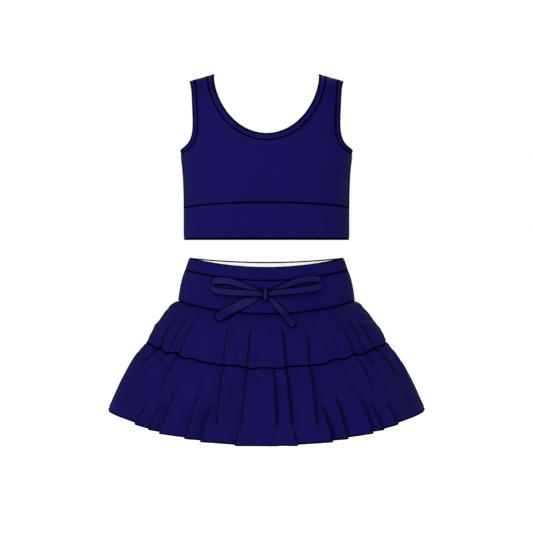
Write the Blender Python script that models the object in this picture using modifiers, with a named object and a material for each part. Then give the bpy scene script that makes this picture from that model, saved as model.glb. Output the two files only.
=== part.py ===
"""Cheer uniform: a sleeveless crop top above a flared skirt with a yoke, two tiers and a bow.

Metres, +Z up. The front faces -Y and the wearer's left is +X. The skirt stands on its hem at
Z = 0, and the top hangs above it as it would on the body. Every sewn piece is its own closed
solid, and the cloth is drawn at the thickness of its doubled seams.
"""

import math

import bmesh
import bpy
from mathutils import Matrix, Vector

COLLECTION = "cheer_uniform"

# Cloth thicknesses, and the clearance between pieces that are sewn together
CLOTH = 0.0018
BINDING_CLOTH = 0.0026
BINDING_PROUD = 0.0004
ELASTIC_CLOTH = 0.0012
LABEL_CLOTH = 0.0004
RIBBON = 0.0010
GAP = 0.0003
SEAM_GAP = 0.0006
AXIS_MARK_SIZE = 0.02

# Crop top: level sections as (height, half width, half depth), from the hem to the shoulders.
# Each one is a superellipse of power SECTION_POWER, a little squarer than an ellipse.
TOP_SECTIONS = (
    (0.3176, 0.1353, 0.0860),
    (0.3728, 0.1354, 0.0875),
    (0.4178, 0.1366, 0.0900),
    (0.4652, 0.1410, 0.0905),
    (0.5078, 0.1430, 0.0850),
    (0.5428, 0.1405, 0.0745),
    (0.5658, 0.1335, 0.0590),
    (0.5774, 0.1254, 0.0460),
    (0.5833, 0.1060, 0.0345),
    (0.5890, 0.0870, 0.0260),
    (0.5923, 0.0600, 0.0180),
)
SECTION_POWER = 2.3
TOP_SEGMENTS = 56
BAND_SEAM_HEIGHT = TOP_SECTIONS[1][0]
BAND_ELASTIC_MARGIN = 0.012

# Neck scoop: an ellipse seen from the front, wider and deeper towards the back
NECK_HALF_WIDTH = 0.0866
NECK_HALF_HEIGHT = 0.1126
NECK_CENTRE_HEIGHT = 0.5971
NECK_BACK_GROWTH = 0.92
NECK_BINDING_WIDTH = 0.0095

# Armholes: squared ovals seen from the front, leaning outwards towards the shoulder
ARM_CENTRE_X = 0.1900
ARM_CENTRE_HEIGHT = 0.5306
ARM_HALF_WIDTH = 0.0699
ARM_HALF_HEIGHT = 0.0705
ARM_POWER = 4.0
ARM_LEAN = 0.053
ARM_BINDING_WIDTH = 0.0073
CUTTER_SEGMENTS = 48
CUTTER_REACH = 0.15
HALF_BLOCK_SIZE = (1.0, 0.5, 1.0)
HALF_BLOCK_HEIGHT = 0.4

# Skirt: lines round the body from the waist edge to the hem, as
# (half width, half depth, height at the sides, dip at the front, dip at the back)
SKIRT_LINES = (
    (0.1262, 0.0800, 0.2870, 0.0148, 0.0063),
    (0.1328, 0.0880, 0.2672, 0.0165, 0.0090),
    (0.1444, 0.1000, 0.2170, 0.0192, 0.0156),
    (0.1560, 0.1110, 0.2090, 0.0180, 0.0150),
    (0.1724, 0.1240, 0.1913, 0.0220, 0.0200),
    (0.1856, 0.1345, 0.1715, 0.0270, 0.0255),
    (0.1964, 0.1430, 0.1484, 0.0332, 0.0320),
    (0.2112, 0.1530, 0.1320, 0.0345, 0.0340),
    (0.2335, 0.1670, 0.0925, 0.0370, 0.0370),
    (0.2603, 0.1850, 0.0395, 0.0405, 0.0405),
)
WAIST, BAND_SEAM, YOKE_SEAM, TIER_SEAM, HEM = 0, 1, 2, 6, 9
SKIRT_SEGMENTS = 56
SEARCH_STEPS = 40
WIDEST_SHARE = 0.99
SIDE_SEAM_ANGLE = 0.002
UPPER_TIER_DROP = 0.0020
LOWER_TIER_DROP = 0.0035
WAIST_ELASTIC_INSET = 0.0026
WAIST_ELASTIC_DROP = 0.0012

# Ribbon bow on the yoke, a little to the wearer's right of the middle
KNOT_X = -0.0020
KNOT_HEIGHT = 0.2290
KNOT_SIZE = (0.0084, 0.0090, 0.0190)
KNOT_ROUNDING = 0.0022
KNOT_ROUNDING_SEGMENTS = 3
LOOP_WIDTH = 0.0112
LOOP_ROOT_WIDTH = 0.0085
LOOP_ROOT_GAP = 0.0020
LOOP_ROOT_APART = 0.0012
LOOP_BULGE = 0.0040
LOOP_CLEARANCE = 0.0016
LOOP_SEGMENTS = 28
TAIL_ROOT_WIDTH = 0.0070
TAIL_ROOT_ASIDE = 0.0052
TAIL_ROOT_BELOW = 0.0022
TAIL_SEGMENTS = 8

# Loops as (side, reach, rise of the front leg, rise of the back leg), and tails as
# (side, distance across, fall, width of the end, how far the end stands off the skirt)
LOOPS = {"left": (1, 0.0830, 0.0075, 0.0268), "right": (-1, 0.0805, 0.0035, 0.0240)}
TAILS = {"left": (1, 0.040, 0.036, 0.0118, 0.0070), "right": (-1, 0.072, 0.024, 0.0130, 0.0090)}

# Blank labels as (width, height)
NECK_LABEL = (0.030, 0.020)
CARE_LABEL = (0.026, 0.038)
LABEL_CLEARANCE = 0.0009

NAVY = (0.0092, 0.0066, 0.0890, 1.0)
DARK_NAVY = (0.0060, 0.0045, 0.0600, 1.0)
WHITE = (0.90, 0.90, 0.89, 1.0)
KNIT_ROUGHNESS = 0.85
ELASTIC_ROUGHNESS = 0.8
LABEL_ROUGHNESS = 0.7
RIBBON_ROUGHNESS = 0.6


# ---------------------------------------------------------------- scene and object helpers


def clear_scene():
    for obj in list(bpy.data.objects):
        bpy.data.objects.remove(obj, do_unlink=True)


def new_collection(name):
    collection = bpy.data.collections.new(name)
    bpy.context.scene.collection.children.link(collection)
    return collection


def cloth_material(name, colour, roughness):
    material = bpy.data.materials.new(name)
    material.use_nodes = True
    shader = material.node_tree.nodes["Principled BSDF"]
    shader.inputs["Base Color"].default_value = colour
    shader.inputs["Roughness"].default_value = roughness
    shader.inputs["Metallic"].default_value = 0.0
    return material


def add_object(name, bm, collection, colour=NAVY, roughness=KNIT_ROUGHNESS):
    """A new object from a bmesh, with a material of its own."""
    mesh = bpy.data.meshes.new(name)
    bm.to_mesh(mesh)
    bm.free()
    mesh.shade_smooth()
    obj = bpy.data.objects.new(name, mesh)
    mesh.materials.append(cloth_material(name, colour, roughness))
    collection.objects.link(obj)
    return obj


def add_empty(name, collection, location, parent=None):
    """An empty that marks the axis of a moving piece."""
    empty = bpy.data.objects.new(name, None)
    empty.empty_display_size = AXIS_MARK_SIZE
    empty.location = location
    collection.objects.link(empty)
    if parent:
        attach(empty, parent)
    return empty


def attach(obj, parent):
    """Parents an object to an empty and leaves it where it is in the world."""
    bpy.context.view_layer.update()
    obj.parent = parent
    obj.matrix_parent_inverse = parent.matrix_world.inverted()


def move_origin(obj, point):
    """Puts the object's origin on a world point, with the mesh left where it is."""
    obj.data.transform(Matrix.Translation(-Vector(point)))
    obj.location = point


def add_solidify(obj, thickness, proud=0.0):
    """Gives an outward-facing surface its thickness, inwards apart from a proud part."""
    modifier = obj.modifiers.new("Thickness", "SOLIDIFY")
    modifier.thickness = thickness
    modifier.offset = 2 * proud / thickness - 1
    modifier.use_even_offset = True


def add_boolean(obj, cutter, operation="DIFFERENCE"):
    modifier = obj.modifiers.new(cutter.name, "BOOLEAN")
    modifier.object = cutter
    modifier.operation = operation
    modifier.solver = "EXACT"


def add_cutter(name, bm, collection):
    obj = add_object(name, bm, collection)
    obj.hide_render = True
    obj.display_type = "WIRE"
    return obj


# ---------------------------------------------------------------- surfaces


def loft(rows, closed):
    """A surface of quads through rows of points, each row joined end to end if closed."""
    bm = bmesh.new()
    rings = [[bm.verts.new(point) for point in row] for row in rows]
    for upper, lower in zip(rings, rings[1:]):
        count = len(upper)
        for i in range(count if closed else count - 1):
            j = (i + 1) % count
            bm.faces.new((upper[i], upper[j], lower[j], lower[i]))
    return bm


def face_outwards(bm):
    """Turns the faces of an open ring or half ring so that they look away from the Z axis."""
    outward = sum(
        face.normal.x * face.calc_center_median().x + face.normal.y * face.calc_center_median().y
        for face in bm.faces
    )
    if outward < 0:
        bmesh.ops.reverse_faces(bm, faces=bm.faces)


def signed_power(value, power):
    return math.copysign(abs(value) ** power, value)


def top_section(height, half_width, half_depth):
    """One level ring of the crop top."""
    ring = []
    for i in range(TOP_SEGMENTS):
        angle = 2 * math.pi * (i + 0.5) / TOP_SEGMENTS
        x = half_width * signed_power(math.cos(angle), 2 / SECTION_POWER)
        y = half_depth * signed_power(math.sin(angle), 2 / SECTION_POWER)
        ring.append((x, y, height))
    return ring


def between(low, high, share):
    return tuple(a + (b - a) * share for a, b in zip(low, high))


def top_surface(sections):
    bm = loft([top_section(*section) for section in sections], closed=True)
    bm.normal_update()
    face_outwards(bm)
    return bm


def skirt_line(position):
    """The skirt line at a position between two of SKIRT_LINES, counted from the waist."""
    index = min(int(position), HEM - 1)
    return between(SKIRT_LINES[index], SKIRT_LINES[index + 1], position - index)


def skirt_point(line, angle, drop=0.0, inset=0.0):
    half_width, half_depth, height, front_dip, back_dip = line
    dip = front_dip if math.sin(angle) < 0 else back_dip
    x = (half_width - inset) * math.cos(angle)
    y = (half_depth - inset) * math.sin(angle)
    return x, y, height - dip * math.sin(angle) ** 2 - drop


def half_skirt(lines, front, drop=0.0):
    """The front or back half of the skirt between lines, lowered at its first line by drop."""
    start = SIDE_SEAM_ANGLE - math.pi if front else SIDE_SEAM_ANGLE
    sweep = math.pi - 2 * SIDE_SEAM_ANGLE
    count = SKIRT_SEGMENTS // 2
    angles = [start + sweep * i / count for i in range(count + 1)]
    rows = [[skirt_point(line, a, drop if i == 0 else 0.0) for a in angles]
            for i, line in enumerate(lines)]
    bm = loft(rows, closed=False)
    bm.normal_update()
    face_outwards(bm)
    return bm


def skirt_front_y(x, height):
    """Where the front surface of the skirt is at a given x and height, between its lines."""
    low, high = 0.0, float(HEM)
    for _ in range(SEARCH_STEPS):
        middle = (low + high) / 2
        half_width, _, side_height, front_dip, _ = skirt_line(middle)
        share = 1 - min(abs(x) / half_width, WIDEST_SHARE) ** 2
        if side_height - front_dip * share > height:
            low = middle
        else:
            high = middle
    half_width, half_depth = skirt_line(low)[:2]
    return -half_depth * math.sqrt(1 - min(abs(x) / half_width, WIDEST_SHARE) ** 2)


# ---------------------------------------------------------------- cutters for the crop top


def prism(outline_at, stations):
    """A closed solid along Y through the outlines at the given stations."""
    rows = [[(x, y, z) for x, z in outline_at(y)] for y in stations]
    bm = loft(rows, closed=True)
    bm.verts.ensure_lookup_table()
    count = len(rows[0])
    bm.faces.new(bm.verts[:count])
    bm.faces.new(bm.verts[-count:])
    bmesh.ops.recalc_face_normals(bm, faces=bm.faces)
    return bm


def neck_outline(margin):
    def at(y):
        growth = 1 + NECK_BACK_GROWTH * max(y, 0.0)
        points = []
        for i in range(CUTTER_SEGMENTS):
            angle = 2 * math.pi * i / CUTTER_SEGMENTS
            x = (NECK_HALF_WIDTH * growth + margin) * math.cos(angle)
            z = (NECK_HALF_HEIGHT * growth + margin) * math.sin(angle)
            points.append((x, NECK_CENTRE_HEIGHT + z))
        return points

    return at


def arm_outline(side, margin):
    def at(_):
        points = []
        for i in range(CUTTER_SEGMENTS):
            angle = 2 * math.pi * i / CUTTER_SEGMENTS
            across = (ARM_HALF_WIDTH + margin) * signed_power(math.cos(angle), 2 / ARM_POWER)
            up = (ARM_HALF_HEIGHT + margin) * signed_power(math.sin(angle), 2 / ARM_POWER)
            points.append((side * (ARM_CENTRE_X + across + ARM_LEAN * up), ARM_CENTRE_HEIGHT + up))
        return points

    return at


def add_neck_cutter(name, margin, cutters):
    return add_cutter(name, prism(neck_outline(margin), (-CUTTER_REACH, 0.0, CUTTER_REACH)), cutters)


def add_arm_cutter(name, side, margin, cutters):
    return add_cutter(name, prism(arm_outline(side, margin), (-CUTTER_REACH, CUTTER_REACH)), cutters)


def add_half_space(name, front, cutters):
    """A block over one half of the top, which leaves the other half when it is cut away."""
    bm = bmesh.new()
    bmesh.ops.create_cube(bm, size=1.0)
    bmesh.ops.scale(bm, vec=HALF_BLOCK_SIZE, verts=bm.verts)
    shift = (HALF_BLOCK_SIZE[1] - GAP) / 2 * (-1 if front else 1)
    bmesh.ops.translate(bm, vec=(0.0, shift, HALF_BLOCK_HEIGHT), verts=bm.verts)
    return add_cutter(name, bm, cutters)


# ---------------------------------------------------------------- crop top


def add_top_panels(parts, cutters):
    """The front and back of the bodice, cut back to the inner edges of the bindings."""
    neck = add_neck_cutter("neck_panel_cutter", NECK_BINDING_WIDTH + GAP, cutters)
    arms = [add_arm_cutter(f"arm_panel_cutter_{label}", side, ARM_BINDING_WIDTH + GAP, cutters)
            for label, side in (("left", 1), ("right", -1))]
    for name, other_half in (("top_front_panel", False), ("top_back_panel", True)):
        first = (BAND_SEAM_HEIGHT + SEAM_GAP,) + TOP_SECTIONS[1][1:]
        obj = add_object(name, top_surface((first,) + TOP_SECTIONS[2:]), parts)
        add_solidify(obj, CLOTH)
        add_boolean(obj, add_half_space(f"{name}_half", other_half, cutters))
        for cutter in [neck] + arms:
            add_boolean(obj, cutter)
        yield obj


def add_neck_binding(parts, cutters):
    obj = add_object("neck_binding", top_surface(TOP_SECTIONS[2:]), parts, DARK_NAVY)
    add_solidify(obj, BINDING_CLOTH, BINDING_PROUD)
    add_boolean(obj, add_neck_cutter("neck_binding_limit", NECK_BINDING_WIDTH, cutters), "INTERSECT")
    add_boolean(obj, add_neck_cutter("neck_opening", 0.0, cutters))
    return obj


def add_armhole_binding(label, side, parts, cutters):
    obj = add_object(f"armhole_binding_{label}", top_surface(TOP_SECTIONS[2:]), parts, DARK_NAVY)
    add_solidify(obj, BINDING_CLOTH, BINDING_PROUD)
    limit = add_arm_cutter(f"arm_binding_limit_{label}", side, ARM_BINDING_WIDTH, cutters)
    add_boolean(obj, limit, "INTERSECT")
    add_boolean(obj, add_arm_cutter(f"arm_opening_{label}", side, 0.0, cutters))
    return obj


def add_underband(parts, cutters):
    """The band below the bust: two halves, with a ring of elastic inside them."""
    for name, other_half in (("underband_front", False), ("underband_back", True)):
        obj = add_object(name, top_surface(TOP_SECTIONS[:2]), parts)
        add_solidify(obj, CLOTH)
        add_boolean(obj, add_half_space(f"{name}_half", other_half, cutters))
        yield obj
    inset = CLOTH + SEAM_GAP
    rows = []
    for height in (TOP_SECTIONS[0][0] + BAND_ELASTIC_MARGIN, BAND_SEAM_HEIGHT - BAND_ELASTIC_MARGIN):
        share = (height - TOP_SECTIONS[0][0]) / (BAND_SEAM_HEIGHT - TOP_SECTIONS[0][0])
        _, half_width, half_depth = between(TOP_SECTIONS[0], TOP_SECTIONS[1], share)
        rows.append((height, half_width - inset, half_depth - inset))
    elastic = add_object("underband_elastic", top_surface(rows), parts, WHITE, ELASTIC_ROUGHNESS)
    add_solidify(elastic, ELASTIC_CLOTH)
    yield elastic


# ---------------------------------------------------------------- skirt


def add_waistband(parts):
    for name, front in (("waistband_front", True), ("waistband_back", False)):
        obj = add_object(name, half_skirt(SKIRT_LINES[WAIST:BAND_SEAM + 1], front), parts)
        add_solidify(obj, CLOTH)
        yield obj
    share = WAIST_ELASTIC_DROP / (SKIRT_LINES[WAIST][2] - SKIRT_LINES[BAND_SEAM][2])
    rows = []
    for position in (share, 1 - 2 * share):
        line = skirt_line(position)
        angles = [2 * math.pi * i / SKIRT_SEGMENTS for i in range(SKIRT_SEGMENTS)]
        rows.append([skirt_point(line, a, 0.0, WAIST_ELASTIC_INSET) for a in angles])
    bm = loft(rows, closed=True)
    bm.normal_update()
    face_outwards(bm)
    elastic = add_object("waistband_elastic", bm, parts, WHITE, ELASTIC_ROUGHNESS)
    add_solidify(elastic, ELASTIC_CLOTH)
    yield elastic


def add_skirt_halves(label, first, last, drop, parts):
    for half, front in (("front", True), ("back", False)):
        lines = SKIRT_LINES[first:last + 1]
        obj = add_object(f"{label}_{half}", half_skirt(lines, front, drop), parts)
        add_solidify(obj, CLOTH)
        yield obj


def add_floor_cutter(cutters):
    """A block below Z = 0, which trims the hem level where the skirt stands on it."""
    bm = bmesh.new()
    bmesh.ops.create_cube(bm, size=1.0)
    bmesh.ops.translate(bm, vec=(0.0, 0.0, -0.5), verts=bm.verts)
    return add_cutter("floor", bm, cutters)


# ---------------------------------------------------------------- bow


def add_knot(parts):
    """The wrap at the middle of the bow, lying along the slope of the yoke."""
    width, depth, height = KNOT_SIZE
    above = skirt_front_y(KNOT_X, KNOT_HEIGHT + height / 2)
    below = skirt_front_y(KNOT_X, KNOT_HEIGHT - height / 2)
    slope = math.atan2(above - below, height)
    bm = bmesh.new()
    bmesh.ops.create_cube(bm, size=1.0)
    bmesh.ops.scale(bm, vec=KNOT_SIZE, verts=bm.verts)
    obj = add_object("bow_knot", bm, parts, DARK_NAVY, RIBBON_ROUGHNESS)
    obj.rotation_euler = (-slope, 0.0, 0.0)
    obj.location = (KNOT_X, (above + below) / 2 - depth / 2 - 2 * GAP, KNOT_HEIGHT)
    bevel = obj.modifiers.new("Rounded edges", "BEVEL")
    bevel.width = KNOT_ROUNDING
    bevel.segments = KNOT_ROUNDING_SEGMENTS
    return obj


def add_bow_loop(label, side, reach, front_rise, back_rise, parts):
    """A ribbon loop: its front leg runs out from the knot, and its back leg comes back higher up."""
    root_x = KNOT_X + side * (KNOT_SIZE[0] / 2 + LOOP_ROOT_GAP)
    rows = []
    for edge in (0.5, 0.0, -0.5):
        row = []
        for i in range(LOOP_SEGMENTS):
            angle = 2 * math.pi * (i + 0.5) / LOOP_SEGMENTS
            share = (1 - math.cos(angle)) / 2
            opened = math.sin(share * math.pi / 2)
            width = LOOP_ROOT_WIDTH + (LOOP_WIDTH - LOOP_ROOT_WIDTH) * opened
            front = (1 + math.sin(angle)) / 2
            rise = back_rise + (front_rise - back_rise) * front
            x = root_x + side * reach * share
            z = KNOT_HEIGHT + rise * opened + edge * width
            apart = LOOP_ROOT_APART + LOOP_BULGE * share
            y = skirt_front_y(x, z) - LOOP_CLEARANCE - 2 * apart * front - RIBBON
            row.append((x, y, z))
        rows.append(row)
    bm = loft(rows, closed=True)
    bmesh.ops.recalc_face_normals(bm, faces=bm.faces)
    obj = add_object(f"bow_loop_{label}", bm, parts, NAVY, RIBBON_ROUGHNESS)
    add_solidify(obj, RIBBON, RIBBON / 2)
    hinge_y = skirt_front_y(root_x, KNOT_HEIGHT) - LOOP_CLEARANCE - LOOP_ROOT_APART - RIBBON
    move_origin(obj, (root_x, hinge_y, KNOT_HEIGHT))
    return obj


def add_bow_tail(label, side, across, fall, end_width, clearance, parts):
    """A flat ribbon end that hangs from below the knot over the yoke seam."""
    root = Vector((KNOT_X + side * TAIL_ROOT_ASIDE, KNOT_HEIGHT - KNOT_SIZE[2] / 2 - TAIL_ROOT_BELOW))
    run = Vector((side * across, -fall))
    normal = Vector((-run.y, run.x)).normalized()
    rows = []
    for edge in (0.5, 0.0, -0.5):
        row = []
        for i in range(TAIL_SEGMENTS + 1):
            share = i / TAIL_SEGMENTS
            width = TAIL_ROOT_WIDTH + (end_width - TAIL_ROOT_WIDTH) * share
            point = root + run * share + normal * width * edge
            lifted = math.sin(share * math.pi / 2)
            stand_off = LOOP_CLEARANCE + (clearance - LOOP_CLEARANCE) * lifted
            row.append((point.x, skirt_front_y(point.x, point.y) - stand_off, point.y))
        rows.append(row)
    bm = loft(rows, closed=False)
    bm.normal_update()
    if sum(face.normal.y for face in bm.faces) > 0:
        bmesh.ops.reverse_faces(bm, faces=bm.faces)
    obj = add_object(f"bow_tail_{label}", bm, parts, NAVY, RIBBON_ROUGHNESS)
    add_solidify(obj, RIBBON, RIBBON / 2)
    move_origin(obj, (root.x, skirt_front_y(root.x, root.y) - LOOP_CLEARANCE, root.y))
    return obj


# ---------------------------------------------------------------- labels


def add_label(name, size, top_centre, parts):
    """A blank label that hangs from its top edge, with its origin on that edge."""
    bm = bmesh.new()
    bmesh.ops.create_cube(bm, size=1.0)
    bmesh.ops.scale(bm, vec=(size[0], LABEL_CLOTH, size[1]), verts=bm.verts)
    bmesh.ops.translate(bm, vec=(0.0, 0.0, -size[1] / 2), verts=bm.verts)
    obj = add_object(name, bm, parts, WHITE, LABEL_ROUGHNESS)
    obj.location = top_centre
    return obj


def neck_label_place():
    """Just below the binding at the middle of the back neck, inside the back panel."""
    depth = TOP_SECTIONS[3][2]
    growth = 1 + NECK_BACK_GROWTH * depth
    height = NECK_CENTRE_HEIGHT - NECK_HALF_HEIGHT * growth - NECK_BINDING_WIDTH - SEAM_GAP
    return 0.0, TOP_SECTIONS[2][2] - BINDING_CLOTH - LABEL_CLEARANCE, height


def care_label_place():
    """Just below the elastic at the middle of the back waist, inside the back yoke."""
    _, half_depth, height, _, back_dip = SKIRT_LINES[BAND_SEAM]
    return 0.0, half_depth - CLOTH - 2 * LABEL_CLEARANCE, height - back_dip - SEAM_GAP


# ---------------------------------------------------------------- assembly


def main():
    clear_scene()
    parts = new_collection(COLLECTION)
    cutters = new_collection("cutters")
    skirt_axis = add_empty("skirt", parts, (0.0, 0.0, 0.0))
    top_axis = add_empty("top", parts, (0.0, 0.0, TOP_SECTIONS[0][0]), skirt_axis)
    upper_axis = add_empty("upper_tier", parts, (0.0, 0.0, SKIRT_LINES[YOKE_SEAM][2]), skirt_axis)
    lower_axis = add_empty("lower_tier", parts, (0.0, 0.0, SKIRT_LINES[TIER_SEAM][2]), upper_axis)

    top_pieces = list(add_top_panels(parts, cutters)) + list(add_underband(parts, cutters))
    top_pieces.append(add_neck_binding(parts, cutters))
    top_pieces.append(add_armhole_binding("left", 1, parts, cutters))
    top_pieces.append(add_armhole_binding("right", -1, parts, cutters))
    top_pieces.append(add_label("neck_label", NECK_LABEL, neck_label_place(), parts))
    for piece in top_pieces:
        attach(piece, top_axis)

    skirt_pieces = list(add_waistband(parts))
    skirt_pieces += list(add_skirt_halves("yoke", BAND_SEAM, YOKE_SEAM, SEAM_GAP, parts))
    skirt_pieces.append(add_knot(parts))
    skirt_pieces += [add_bow_loop(label, *loop, parts) for label, loop in LOOPS.items()]
    skirt_pieces += [add_bow_tail(label, *tail, parts) for label, tail in TAILS.items()]
    skirt_pieces.append(add_label("care_label", CARE_LABEL, care_label_place(), parts))
    for piece in skirt_pieces:
        attach(piece, skirt_axis)

    for piece in add_skirt_halves("upper_tier", YOKE_SEAM, TIER_SEAM, UPPER_TIER_DROP, parts):
        attach(piece, upper_axis)
    floor = add_floor_cutter(cutters)
    for piece in add_skirt_halves("lower_tier", TIER_SEAM, HEM, LOWER_TIER_DROP, parts):
        add_boolean(piece, floor)
        attach(piece, lower_axis)


main()
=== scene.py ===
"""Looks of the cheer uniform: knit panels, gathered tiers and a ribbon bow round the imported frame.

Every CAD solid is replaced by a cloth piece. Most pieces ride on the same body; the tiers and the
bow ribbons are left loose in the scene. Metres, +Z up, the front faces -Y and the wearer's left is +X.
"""

import math

import bpy
import numpy as np
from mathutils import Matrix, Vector


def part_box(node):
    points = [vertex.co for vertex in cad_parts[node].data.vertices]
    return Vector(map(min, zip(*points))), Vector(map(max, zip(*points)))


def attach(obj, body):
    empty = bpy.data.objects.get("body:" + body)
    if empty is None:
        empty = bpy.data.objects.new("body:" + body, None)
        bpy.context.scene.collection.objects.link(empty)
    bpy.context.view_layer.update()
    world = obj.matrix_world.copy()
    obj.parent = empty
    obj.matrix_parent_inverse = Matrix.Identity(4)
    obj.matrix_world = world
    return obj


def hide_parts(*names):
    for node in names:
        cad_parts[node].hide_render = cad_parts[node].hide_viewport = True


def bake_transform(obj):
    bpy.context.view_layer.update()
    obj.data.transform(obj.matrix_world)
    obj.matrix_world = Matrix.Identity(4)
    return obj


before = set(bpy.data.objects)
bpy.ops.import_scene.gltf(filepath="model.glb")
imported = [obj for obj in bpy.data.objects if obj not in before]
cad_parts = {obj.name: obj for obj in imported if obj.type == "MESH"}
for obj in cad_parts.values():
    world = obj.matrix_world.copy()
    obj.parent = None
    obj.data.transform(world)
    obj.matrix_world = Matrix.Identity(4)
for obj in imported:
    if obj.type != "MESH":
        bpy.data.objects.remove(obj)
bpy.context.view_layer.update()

# Crop top, as in the frame: (height, half width, half depth) from the hem to the shoulders
TOP_SECTIONS = np.array((
    (0.3176, 0.1353, 0.0860),
    (0.3728, 0.1354, 0.0875),
    (0.4178, 0.1366, 0.0900),
    (0.4652, 0.1410, 0.0905),
    (0.5078, 0.1430, 0.0850),
    (0.5428, 0.1405, 0.0745),
    (0.5658, 0.1335, 0.0590),
    (0.5774, 0.1254, 0.0460),
    (0.5833, 0.1060, 0.0345),
    (0.5890, 0.0870, 0.0260),
    (0.5923, 0.0600, 0.0180),
))
SECTION_POWER = 2.3
TOP_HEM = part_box("underband_front")[0].z
BAND_SEAM_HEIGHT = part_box("underband_front")[1].z
BAND_SEAM_DROP = 0.0036
BAND_SEAM_RISE = 0.0058
HEM_RISE = 0.0014
NECK_HALF_WIDTH = 0.0878
NECK_HALF_HEIGHT = 0.1126
NECK_CENTRE_HEIGHT = 0.5971
NECK_BACK_GROWTH = 0.92
NECK_BINDING_WIDTH = 0.0095
ARM_CENTRE_X = 0.1900
ARM_CENTRE_HEIGHT = 0.5306
ARM_HALF_WIDTH = 0.0706
ARM_HALF_HEIGHT = 0.0705
ARM_POWER = 4.0
ARM_LEAN = 0.053
ARM_BINDING_WIDTH = 0.0073
UNDERARM_SHARE = 0.62
BINDING_OVERLAP = 0.0030
BINDING_STEP = 0.0022
SIDE_SEAM_TOP = 0.4560
SHOULDER_SEAM = (0.5788, 0.5865)

# Skirt, as in the frame: lines round the body from the waist edge to the hem, as
# (half width, half depth, height at the sides, dip at the front, dip at the back)
SKIRT_LINES = np.array((
    (0.1262, 0.0800, 0.2870, 0.0148, 0.0063),
    (0.1328, 0.0880, 0.2672, 0.0165, 0.0090),
    (0.1444, 0.1000, 0.2170, 0.0192, 0.0156),
    (0.1560, 0.1110, 0.2090, 0.0180, 0.0150),
    (0.1724, 0.1240, 0.1913, 0.0220, 0.0200),
    (0.1856, 0.1345, 0.1715, 0.0270, 0.0255),
    (0.1964, 0.1430, 0.1484, 0.0332, 0.0320),
    (0.2112, 0.1530, 0.1320, 0.0345, 0.0340),
    (0.2335, 0.1670, 0.0925, 0.0370, 0.0370),
    (0.2603, 0.1850, 0.0395, 0.0405, 0.0405),
))
WAIST, BAND_SEAM, YOKE_SEAM, TIER_SEAM, HEM = 0, 1, 2, 6, 9
SMOOTH_RUNS = ((WAIST, YOKE_SEAM), (YOKE_SEAM, TIER_SEAM), (TIER_SEAM, HEM))

# Folds on each side of the middle: (angle where it starts, angle where it ends, start, end,
# strength). Angles are from the front; start and end count 0 at the yoke seam, 1 at the tier
# seam and 2 at the hem. Cloth nearer the middle lies over cloth farther out. The back has
# about the same folds and a few more towards its sides, counted from the middle of the back.
FOLDS = (
    (9.0, 9.0, 0.31, 1.80, 1.0),
    (21.6, 18.0, 0.34, 1.80, 1.0),
    (44.3, 46.0, 0.33, 1.45, 0.9),
    (51.4, 53.0, 0.30, 1.20, 0.8),
    (60.6, 61.5, 0.25, 1.05, 0.8),
    (63.5, 68.0, 0.98, 1.50, 0.8),
    (10.0, 10.5, 1.80, 2.00, 0.9),
    (22.0, 22.5, 1.50, 2.00, 1.4),
    (28.0, 28.8, 1.42, 2.00, 1.1),
    (38.3, 39.2, 1.45, 2.00, 1.2),
    (43.5, 45.0, 1.62, 2.00, 0.8),
    (51.0, 52.0, 1.68, 2.00, 0.8),
    (64.0, 66.0, 1.40, 1.92, 0.4),
    (76.0, 78.0, 1.30, 1.90, 0.4),
)
BACK_FOLDS = (
    (58.0, 60.0, 1.50, 2.00, 0.7),
    (69.0, 71.0, 1.35, 2.00, 0.8),
    (74.0, 75.0, 0.35, 0.95, 0.6),
    (80.0, 82.0, 1.25, 2.00, 0.8),
)
MIDDLE_FOLD = (3.6, 3.7, 1.00, 1.78, 0.9)
FOLD_DEPTH = (0.0016, 0.0058)
FOLD_WIDTH = 0.0015
FOLD_REACH = (0.009, 0.016)
FOLD_OVERLAP = 0.0019
SEAM_UNEVENNESS = (0.0014, 0.0018)
# Width and set-back of the painted shade line that darkens the skirt cloth along each fold's crease
CREASE_SHADE_WIDTH = 0.0015
CREASE_SHADE_SET_BACK = 0.7

# Cloth and thread
KNIT = 0.0011
FOLDED_BAND = 0.0020
TIER_CLOTH = 0.0008
RIBBON = 0.0006
YOKE_HIP = 0.0018
TUCK = 0.0010
CLOTH_GROWTH = 0.03
CORD_WIDTH = 0.0023
CORD_HEIGHT = 0.0013
EDGE_CORD = (0.0034, 0.0026)
EDGE_PROUD = -0.0003
SIDE_CORD = (0.0026, 0.0033)
HEM_CORD = (0.0027, 0.0018)
ROLLED_CORD = (0.0027, 0.0036)
STITCH = 0.0024

# Bow, as in the frame
KNOT_X = -0.0020
KNOT_HEIGHT = 0.2290
KNOT_SIZE = (0.0084, 0.0090, 0.0190)
LOOP_WIDTH = 0.0112
LOOP_ROOT_WIDTH = 0.0085
LOOP_TUCK = 0.0030
LOOP_ROOT_APART = 0.0012
LOOP_BULGE = 0.0040
LOOP_CLEARANCE = 0.0016
TAIL_START_RISE = 0.0035
TAIL_CLEARANCE = 0.0013
RIBBON_EDGE = 0.0017

NAVY = (0.0058, 0.0040, 0.0790)
WHITE = (0.86, 0.86, 0.85)
BLACK = (0.0008, 0.0007, 0.0018)

rng = np.random.default_rng(11)
WAVE_PHASES = rng.uniform(0, 2 * math.pi, 14)


# ---------------------------------------------------------------- numbers


def smooth_step(low, high, value):
    share = np.clip((value - low) / (high - low), 0.0, 1.0)
    return share * share * (3 - 2 * share)


def signed_power(value, power):
    return np.sign(value) * np.abs(value) ** power


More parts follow.
